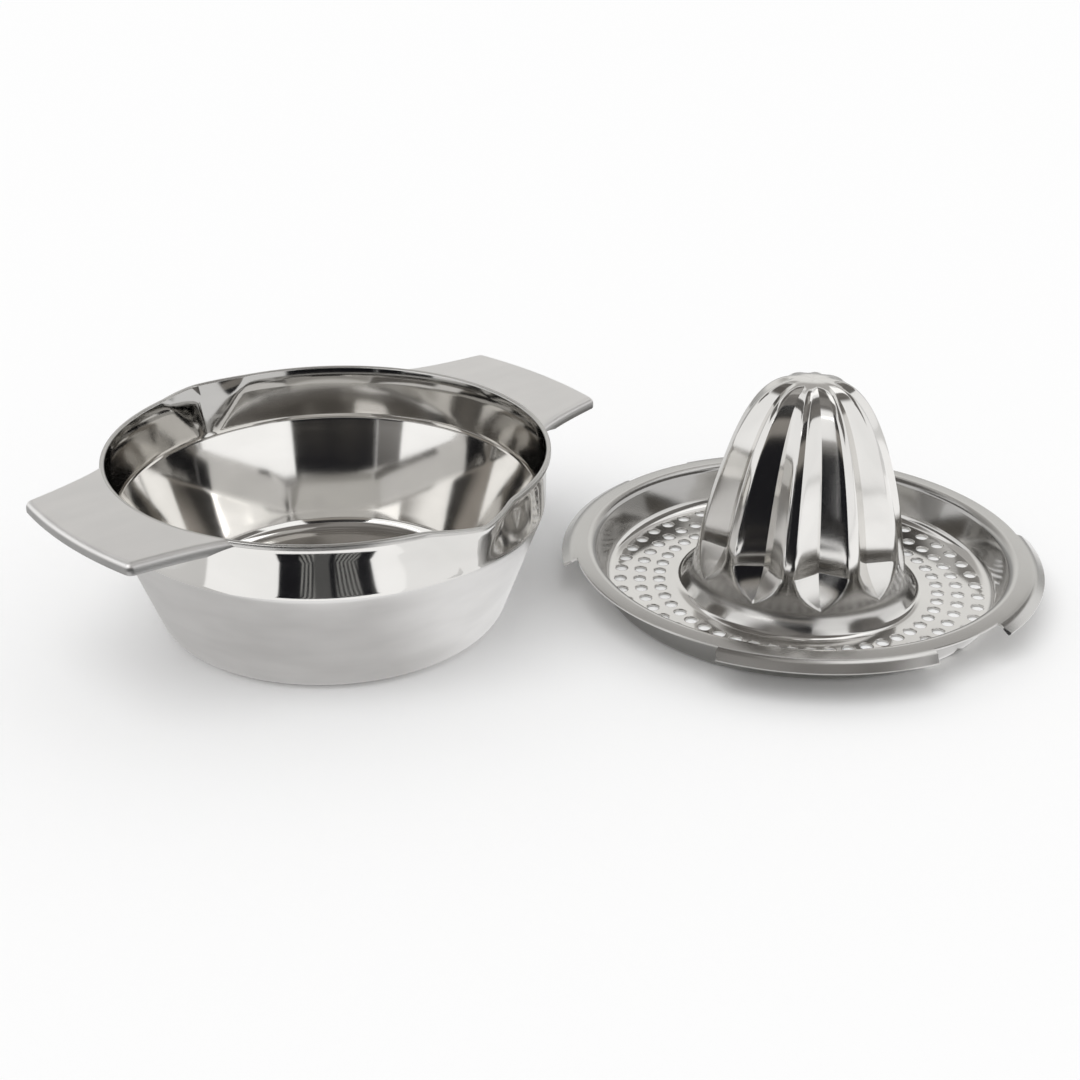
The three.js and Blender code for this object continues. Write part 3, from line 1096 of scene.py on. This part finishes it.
    def hole_cell(self, ring: int, cell: int) -> np.ndarray:
        """Makes the plate round one hole, as loops from the cell's border on top through the hole to below.

        Args:
            ring: Which ring the hole is in.
            cell: Which of the ring's holes it is.

        Returns:
            Points by loop and place in the loop.
        """
        per_side = self.columns // self.holes_per_ring
        middle = cell * 2 * math.pi / self.holes_per_ring
        low, high = self.ring_edges[ring], self.ring_edges[ring + 1]
        reach = math.pi / self.holes_per_ring
        step = np.arange(per_side) / per_side
        ones = np.ones(per_side)
        out, round_it = (high - low) * step, 2 * reach * step
        radius = np.concatenate([low * ones, low + out, high * ones, high - out])
        angle = np.concatenate([round_it - reach, reach * ones, reach - round_it, -reach * ones])
        border = np.stack([radius * np.cos(angle), radius * np.sin(angle)], axis=1)
        centre = np.array([self.hole_rings[ring], 0.0])
        bearing = border - centre
        bearing /= np.linalg.norm(bearing, axis=1)[:, None]
        hole, edge, top = self.hole_radius, self.hole_edge, self.sheet
        turned_in = self.hole_turn_share * edge
        loops = [(None, top), (hole + edge + self.hole_margin, top), (hole + edge, top)]
        loops += [(hole + turned_in, top - turned_in), (hole, top - edge)]
        loops += [(hole, self.hole_burr), (hole + self.hole_burr_spread, 0.0), (None, 0.0)]
        points = []
        for size, height in loops:
            flat = border if size is None else centre + bearing * size
            lift = self.plate_rise(np.hypot(flat[:, 0], flat[:, 1]))
            points.append(np.column_stack([flat, height + lift]))
        cos, sin = math.cos(middle), math.sin(middle)
        spin = np.array([[cos, sin, 0.0], [-sin, cos, 0.0], [0.0, 0.0, 1.0]])
        return np.stack(points) @ spin

    def gap_ends(self, tab: int) -> tuple[float, float]:
        """The half widths of the gaps before and after a tab; wide and narrow gaps take turns."""
        return (self.handle_gap, self.lip_gap) if tab % 2 == 0 else (self.lip_gap, self.handle_gap)

    def flange_angles(self) -> np.ndarray:
        """Shifts the flange's columns so that they meet the tabs' ends.

        Returns:
            The columns' angles in radians.
        """
        step, share = 360 / self.columns, 360 / self.tab_count
        keys, ends = [0.0], [0.0]
        for tab in range(self.tab_count):
            start, stop = share * tab, share * (tab + 1)
            near, far = self.gap_ends(tab)
            keys += [start + round(near / step) * step, stop - round(far / step) * step, stop]
            ends += [start + near, stop - far, stop]
        return np.radians(np.interp(np.arange(self.columns) * step, keys, ends))

    def tab_ranges(self) -> list[tuple[int, int]]:
        """Finds which columns the tabs span.

        Returns:
            The first and last column of each tab.
        """
        step, share = 360 / self.columns, self.columns // self.tab_count
        ranges = []
        for tab in range(self.tab_count):
            near, far = (round(gap / step) for gap in self.gap_ends(tab))
            ranges.append((tab * share + near, (tab + 1) * share - far))
        return ranges

    def tab_grid(self, path: np.ndarray, first: float, last: float, count: int) -> np.ndarray:
        """One tab with rounded corners at its free edge.

        Args:
            path: The tab's profile, over its top, round its edge and back below.
            first: The angle at which the tab starts.
            last: The angle at which it ends.
            count: How many columns it has.

        Returns:
            Points by row and column.
        """
        edge = path[:, 0].max()
        from_edge = np.clip(edge - path[:, 0], 0, self.tab_corner)
        draw_in = self.tab_corner - np.sqrt(self.tab_corner ** 2 - (self.tab_corner - from_edge) ** 2)
        rows = []
        for (radius, height), inset in zip(path, draw_in):
            turn = np.linspace(first + inset / radius, last - inset / radius, count)
            rows.append(round_grid(radius, turn, np.full(count, height)))
        return np.stack(rows)

    def build(self, polished: bpy.types.Material) -> bpy.types.Object:
        """Makes the reamer and strainer.

        Args:
            polished: Its finish.

        Returns:
            The object, about its own axis.
        """
        upper = self.upper_path()
        under = offset(upper, -self.sheet)
        maker = MeshMaker()
        even = np.arange(self.columns) * 2 * math.pi / self.columns
        plate_inner, plate_outer = self.ring_edges[0], self.ring_edges[-1]
        flange_end = self.bowl.rim_radius + self.flange_reach - self.flange_edge
        sides = []
        for path, height in ((upper, self.sheet), (under, 0.0)):
            inner = path[path[:, 0] < plate_inner - self.seam_slack]
            inner = np.vstack([inner, [plate_inner, height]])
            maker.add_grid(self.press_flutes(*turned(inner, even)), wrap=True)
            rim = height + float(self.plate_rise(np.array(plate_outer)))
            past_plate = path[:, 0] > plate_outer + 2 * self.seam_slack
            outer = path[past_plate & (path[:, 0] < flange_end - self.seam_slack)]
            flange = path[-self.flange_rows:]
            level = float(np.interp(flange_end, flange[:, 0], flange[:, 1]))
            outer = np.vstack([[plate_outer, rim], outer, [flange_end, level]])
            share = np.clip((outer[:, 0] - plate_outer) / self.shift_length, 0, 1)[:, None]
            angles = even * (1 - share) + self.flange_angles() * share
            radius, _, tall = turned(outer, even)
            maker.add_grid(round_grid(radius, angles, tall), wrap=True)
            tab = path[path[:, 0] > flange_end + self.seam_slack]
            sides.append(np.vstack([[flange_end, level], tab]))
        for ring in range(len(self.hole_rings)):
            for cell in range(self.holes_per_ring):
                maker.add_grid(self.hole_cell(ring, cell), wrap=True)
        self.add_flange_edge(maker, sides)
        return maker.build("reamer_strainer_steel", [polished], THIN_CREASE)

    def add_flange_edge(self, maker: MeshMaker, sides: list[np.ndarray]) -> None:
        """Adds the tabs, and closes the flange between them.

        Args:
            maker: Where the faces go.
            sides: The profile of a tab's upper and lower face.
        """
        angles = self.flange_angles()
        top, below = sides
        tip = (top[-1] + below[-1]) / 2
        onward = top[-1] - top[-2]
        tip = tip + onward / np.linalg.norm(onward) * self.tab_tip
        path = np.vstack([top, tip, below[::-1]])
        edge = self.flange_edge
        rounded = np.array([top[0], top[0] + [edge, -edge], below[0] + [edge, edge], below[0]])
        closed = np.append(angles, 2 * math.pi)
        gap_start = 0
        for first, last in [*self.tab_ranges(), (self.columns, self.columns)]:
            maker.add_grid(round_grid(*turned(rounded, closed[gap_start:first + 1])))
            gap_start = last
            if first == last:
                continue
            grid = self.tab_grid(path, angles[first], angles[last], last - first + 1)
            maker.add_grid(grid)
            half = len(path) // 2
            for column in (0, -1):
                end = grid[:, column]
                pairs = np.stack([end[:half + 1], end[::-1][:half + 1]])
                maker.add_grid(pairs)


# Studio


@dataclass(frozen=True)
class Card:
    """A panel beside the set that polished steel mirrors, and that the camera, light and shadows pass.

    Its centre and size are in millimetres; turn is about +Z, and tilt is back from upright, so that
    at 90 it lies flat. Its far edge, the upper one if it stands, is far_share of its width. It shows
    its bands from the near edge to the far one, or else its shade, with stripes or blotches of the
    second shade where it has one. It softens into white over soft_share of its half size: at its
    sides and its far edge, or all round where round_edge is set.
    """

    name: str
    centre: Place
    width: float
    height: float
    shade: Colour = FULL_WHITE
    second_shade: Colour | None = None
    turn: float = 0.0
    tilt: float = 90.0
    stripe_pitch: float = 0.0
    stripe_groups: tuple[tuple[float, float], ...] = ((-0.54, -0.22), (0.18, 0.70))
    stripe_gap: tuple[float, float] = (-0.26, 0.10)
    stripe_softness: float = 0.04
    gap_share: float = 0.25
    wave_range: tuple[float, float] = (-0.1, 0.6)
    blotch_scale: float = 6.0
    blotch_range: tuple[float, float] = (0.42, 0.62)
    band_wobble: float = 0.04
    soft_share: float = 0.02
    round_edge: bool = False
    far_share: float = 1.0
    bands: tuple[tuple[float, Colour], ...] = ()

    def blotches(self, bench: Bench, x: Signal, z: Signal) -> Signal:
        """Smooth noise over the card's face, between 0 and 1."""
        return bench.noise((x, 0.0, z), self.blotch_scale, 1.0)

    def striped(self, x: Signal, side: Signal) -> Signal:
        """Sets two groups of stripes, with a grey stretch between them.

        Args:
            x: The distance from the card's middle line in metres.
            side: The same as a share of its half width.

        Returns:
            The second shade's share.
        """
        first, second = (side.within(*group, self.stripe_softness) for group in self.stripe_groups)
        wave = (x * (2 * math.pi / (self.stripe_pitch * MM))).math("SINE").ramp(*self.wave_range)
        between = side.within(*self.stripe_gap, self.stripe_softness)
        return (first + second) * wave + between * self.gap_share

    def shading(self, bench: Bench) -> bpy.types.NodeSocket:
        """Colours the card.

        Args:
            bench: Where the nodes go.

        Returns:
            The colour over its face.
        """
        x, _, z = bench.place()
        up = z / (self.height / 2 * MM)
        half_width = self.width / 2 * MM * (1.0 + (up + 1.0) * ((self.far_share - 1.0) / 2))
        across = x.math("ABSOLUTE") / half_width
        out = (across * across + up * up).math("SQRT") if self.round_edge else across.math("MAXIMUM", up)
        plain = (*self.shade, 1.0)
        if self.bands:
            wobble = (self.blotches(bench, x, z) - 0.5) * self.band_wobble
            rise = up * 0.5 + 0.5 + wobble
            plain = bench.node("ShaderNodeValToRGB", {"stops": list(self.bands)}, {0: rise}).outputs[0]
        elif self.second_shade is not None:
            if self.stripe_pitch > 0:
                share = self.striped(x, x / half_width)
            else:
                share = self.blotches(bench, x, z).ramp(*self.blotch_range)
            plain = bench.blend(share, self.shade, self.second_shade)
        return bench.tint(out.ramp(1.0 - self.soft_share, 1.0), plain, FULL_WHITE)

    def build(self) -> None:
        """Puts the card up."""
        material = bpy.data.materials.new(self.name)
        bench = Bench(material)
        glow = bench.node("ShaderNodeEmission", {}, {"Color": self.shading(bench), "Strength": 1.0})
        bench.finish(glow.outputs[0])
        half = (self.width / 2 * MM, self.height / 2 * MM)
        mesh = bpy.data.meshes.new(self.name)
        far = self.far_share
        corners = [(x * half[0], 0.0, z * half[1]) for x, z in ((-1, -1), (1, -1), (far, 1), (-far, 1))]
        mesh.from_pydata(corners, [], [(0, 1, 2, 3)])
        mesh.materials.append(material)
        card = linked(self.name, mesh)
        card.location = tuple(value * MM for value in self.centre)
        card.rotation_euler = (math.radians(-self.tilt), 0.0, math.radians(self.turn))
        for ray in ("camera", "diffuse", "transmission", "volume_scatter", "shadow"):
            setattr(card, f"visible_{ray}", False)


@dataclass
class Studio:
    """The pale floor, the light and the camera."""

    focal_pixels: float = 1821.95
    frame_pixels: float = 1080.0
    axis_pixel: float = 500.0
    camera_spot: Place = (54.70, -529.96, 287.33)
    camera_pitch: float = 26.499
    camera_roll: float = -0.16
    sensor: float = 36.0
    clip_range: tuple[float, float] = (0.01, 50.0)
    floor_half: float = 4000.0
    floor_drop: float = 0.1
    floor_roughness: float = 0.9
    floor_clouds_per_metre: float = 3.0
    floor_cloud_share: float = 0.1
    floor_colour: Colour = (0.98, 0.98, 0.98)
    mirrored_floor_colour: Colour = (0.74, 0.74, 0.735)
    sky_strength: float = 0.74
    sun_strength: float = 0.95
    sun_tilt: float = 28.0
    sun_turn: float = -35.0
    sun_softness: float = 50.0
    cards: list[Card] = field(default_factory=list)

    def build_camera(self) -> None:
        """Stands the camera where the photograph was taken from."""
        data = bpy.data.cameras.new("camera")
        data.sensor_width = self.sensor
        data.lens = self.focal_pixels / self.frame_pixels * self.sensor
        data.shift_x = (self.frame_pixels / 2 - self.axis_pixel) / self.frame_pixels
        data.clip_start, data.clip_end = self.clip_range
        camera = linked("camera", data)
        camera.location = tuple(value * MM for value in self.camera_spot)
        camera.rotation_mode = "ZYX"
        camera.rotation_euler = (math.radians(90 - self.camera_pitch), 0.0, math.radians(self.camera_roll))
        bpy.context.scene.camera = camera

    def build_floor(self) -> None:
        """Lays the pale floor."""
        material = bpy.data.materials.new("floor")
        bench = Bench(material)
        cloud = bench.noise(bench.place(), self.floor_clouds_per_metre, 2.0)
        mirrored = bench.ray("Glossy") * (1.0 - self.floor_cloud_share + cloud * self.floor_cloud_share)
        paper = bench.node("ShaderNodeBsdfPrincipled", {}, {
            "Base Color": bench.blend(mirrored, self.floor_colour, self.mirrored_floor_colour),
            "Roughness": self.floor_roughness,
            "Specular IOR Level": 0.0,
        })
        bench.finish(paper.outputs[0])
        half = self.floor_half * MM
        mesh = bpy.data.meshes.new("floor")
        corners = [(-half, -half, 0), (half, -half, 0), (half, half, 0), (-half, half, 0)]
        mesh.from_pydata(corners, [], [(0, 1, 2, 3)])
        mesh.materials.append(material)
        floor = linked("floor", mesh)
        floor.location.z = -self.floor_drop * MM

    def build_sky(self) -> None:
        """Sets the even light all round, which the camera and polished steel see as white."""
        world = bpy.data.worlds.new("studio")
        bpy.context.scene.world = world
        bench = Bench(world)
        seen = bench.ray("Camera").math("MAXIMUM", bench.ray("Glossy"))
        seen = seen.math("MAXIMUM", bench.ray("Transmission"))
        strength = self.sky_strength + seen * (1.0 - self.sky_strength)
        light = bench.node("ShaderNodeBackground", {}, {"Color": (*FULL_WHITE, 1.0), "Strength": strength})
        bench.finish(light.outputs[0])

    def build_sun(self) -> None:
        """Adds one soft lamp from above, whose light is even over the whole floor."""
        data = bpy.data.lights.new("soft_lamp", "SUN")
        data.energy = self.sun_strength
        data.angle = math.radians(self.sun_softness)
        lamp = linked("soft_lamp", data)
        lamp.rotation_euler = (math.radians(self.sun_tilt), 0.0, math.radians(self.sun_turn))

    def build(self) -> None:
        """Builds the studio."""
        self.build_camera()
        self.build_floor()
        self.build_sky()
        self.build_sun()
        for card in self.cards:
            card.build()
        bpy.context.scene.view_settings.view_transform = "Standard"
        LOG.info("studio with %d cards", len(self.cards))


BLACK = (0.012, 0.012, 0.014)
SMOKE = (0.035, 0.033, 0.031)
BRIGHT = (1.08, 1.08, 1.08)
WHITE = (1.3, 1.3, 1.3)
CAMERA_BANDS = (
    (0.0, BLACK), (0.24, BLACK), (0.28, SMOKE), (0.33, (0.26, 0.245, 0.225)), (0.48, (0.28, 0.26, 0.24)),
    (0.55, SMOKE), (1.0, BLACK),
)
WING_BANDS = ((0.0, BLACK), (0.60, BLACK), (0.72, (0.14, 0.135, 0.13)), (1.0, (0.42, 0.41, 0.40)))
BACK_BANDS = (
    (0.0, (0.42, 0.42, 0.415)), (0.15, (0.52, 0.52, 0.515)), (0.225, (0.86, 0.856, 0.84)),
    (0.37, (0.88, 0.876, 0.86)), (0.44, (0.48, 0.47, 0.455)), (1.0, (0.42, 0.41, 0.40)),
)
BASE_BANDS = (
    (0.0, (0.66, 0.655, 0.65)), (0.35, (0.60, 0.595, 0.59)), (0.70, (0.58, 0.575, 0.57)),
    (0.82, (0.92, 0.92, 0.92)), (1.0, (0.95, 0.95, 0.95)),
)
CARDS = [
    Card("camera_card", (14.0, -600.0, 460.0), 578.0, 920.0, tilt=0.0, soft_share=0.05, bands=CAMERA_BANDS),
    Card("ceiling_card", (70.0, -20.0, 900.0), 1500.0, 1500.0, (0.12, 0.112, 0.105), (0.2, 0.19, 0.18),
         blotch_scale=3.0, soft_share=0.25, round_edge=True),
    Card("softbox_card", (500.0, 220.0, 890.0), 440.0, 420.0, WHITE),
    Card("haze_card", (205.0, 95.0, 894.0), 250.0, 330.0, (0.38, 0.37, 0.355), (0.44, 0.43, 0.415)),
    Card("right_panel", (900.0, 150.0, 750.0), 1500.0, 600.0, (0.14, 0.135, 0.13), (0.2, 0.19, 0.18),
         90.0, 0.0, blotch_scale=3.0, soft_share=0.15),
    Card("left_panel", (-900.0, 450.0, 1000.0), 900.0, 700.0, (0.10, 0.095, 0.09), (0.15, 0.145, 0.14),
         90.0, 0.0, blotch_scale=3.0, soft_share=0.15),
    Card("back_card", (80.0, 900.0, 700.0), 2400.0, 1400.0, turn=180.0, tilt=0.0, blotch_scale=2.0,
         soft_share=0.1, bands=BACK_BANDS),
    Card("wing_card", (-370.0, -600.0, 165.0), 240.0, 330.0, tilt=0.0, soft_share=0.05, bands=WING_BANDS),
    Card("low_wing_card", (-680.0, -600.0, 60.0), 420.0, 120.0, BLACK, SMOKE, tilt=0.0, soft_share=0.05),
    Card("apron_card", (-285.0, -390.0, 0.5), 1230.0, 424.0, BLACK, SMOKE),
    Card("right_card", (585.0, -60.0, 0.6), 770.0, 420.0, BRIGHT, soft_share=0.05),
    Card("far_right_card", (800.0, -620.0, 0.6), 900.0, 690.0, BRIGHT, soft_share=0.05),
    Card("foot_card", (203.0, -150.0, 0.5), 34.0, 228.0, BRIGHT),
    Card("base_card", (-16.0, -55.0, 0.25), 160.0, 208.0, turn=-90.0, blotch_scale=14.0, soft_share=0.005,
         bands=BASE_BANDS),
    Card("window_card", (-20.0, -145.0, 0.55), 374.0, 120.0, BRIGHT, soft_share=0.04, far_share=0.36),
    Card("block_card", (8.0, -146.0, 0.65), 112.0, 62.0, BLACK, (0.32, 0.32, 0.31), stripe_pitch=4.2,
         soft_share=0.03, far_share=0.74),
    Card("side_card", (108.0, -106.0, 0.6), 48.0, 62.0, (0.95, 0.95, 0.95)),
    Card("corner_card", (150.0, -157.0, 0.7), 74.0, 106.0, BLACK, SMOKE, soft_share=0.05),
]


def main() -> None:
    """Builds the pieces and the studio, and reports each."""
    logging.basicConfig(level=logging.INFO)
    finishes = (MIRROR, BRUSHED, ROLLED, INSIDE, PRESSED, SATIN)
    *bowl_finishes, pressed, satin = (finish.build() for finish in finishes)
    bowl = Bowl()
    piece = bowl.build(*bowl_finishes)
    settle(piece, "bowl", "bowl", bowl.turn, (0.0, 0.0, 0.0))
    handle = Handle(bowl)
    for side, turn in (("right", bowl.turn), ("left", bowl.turn + 180.0)):
        piece = handle.build(f"handle_{side}_steel", satin)
        settle(piece, f"handle_{side}", "bowl", turn, (0.0, 0.0, bowl.height))
    reamer = Reamer(bowl)
    settle(reamer.build(pressed), "reamer_strainer", "reamer", reamer.turn, reamer.spot())
    Studio(cards=CARDS).build()


if __name__ == "__main__":
    main()
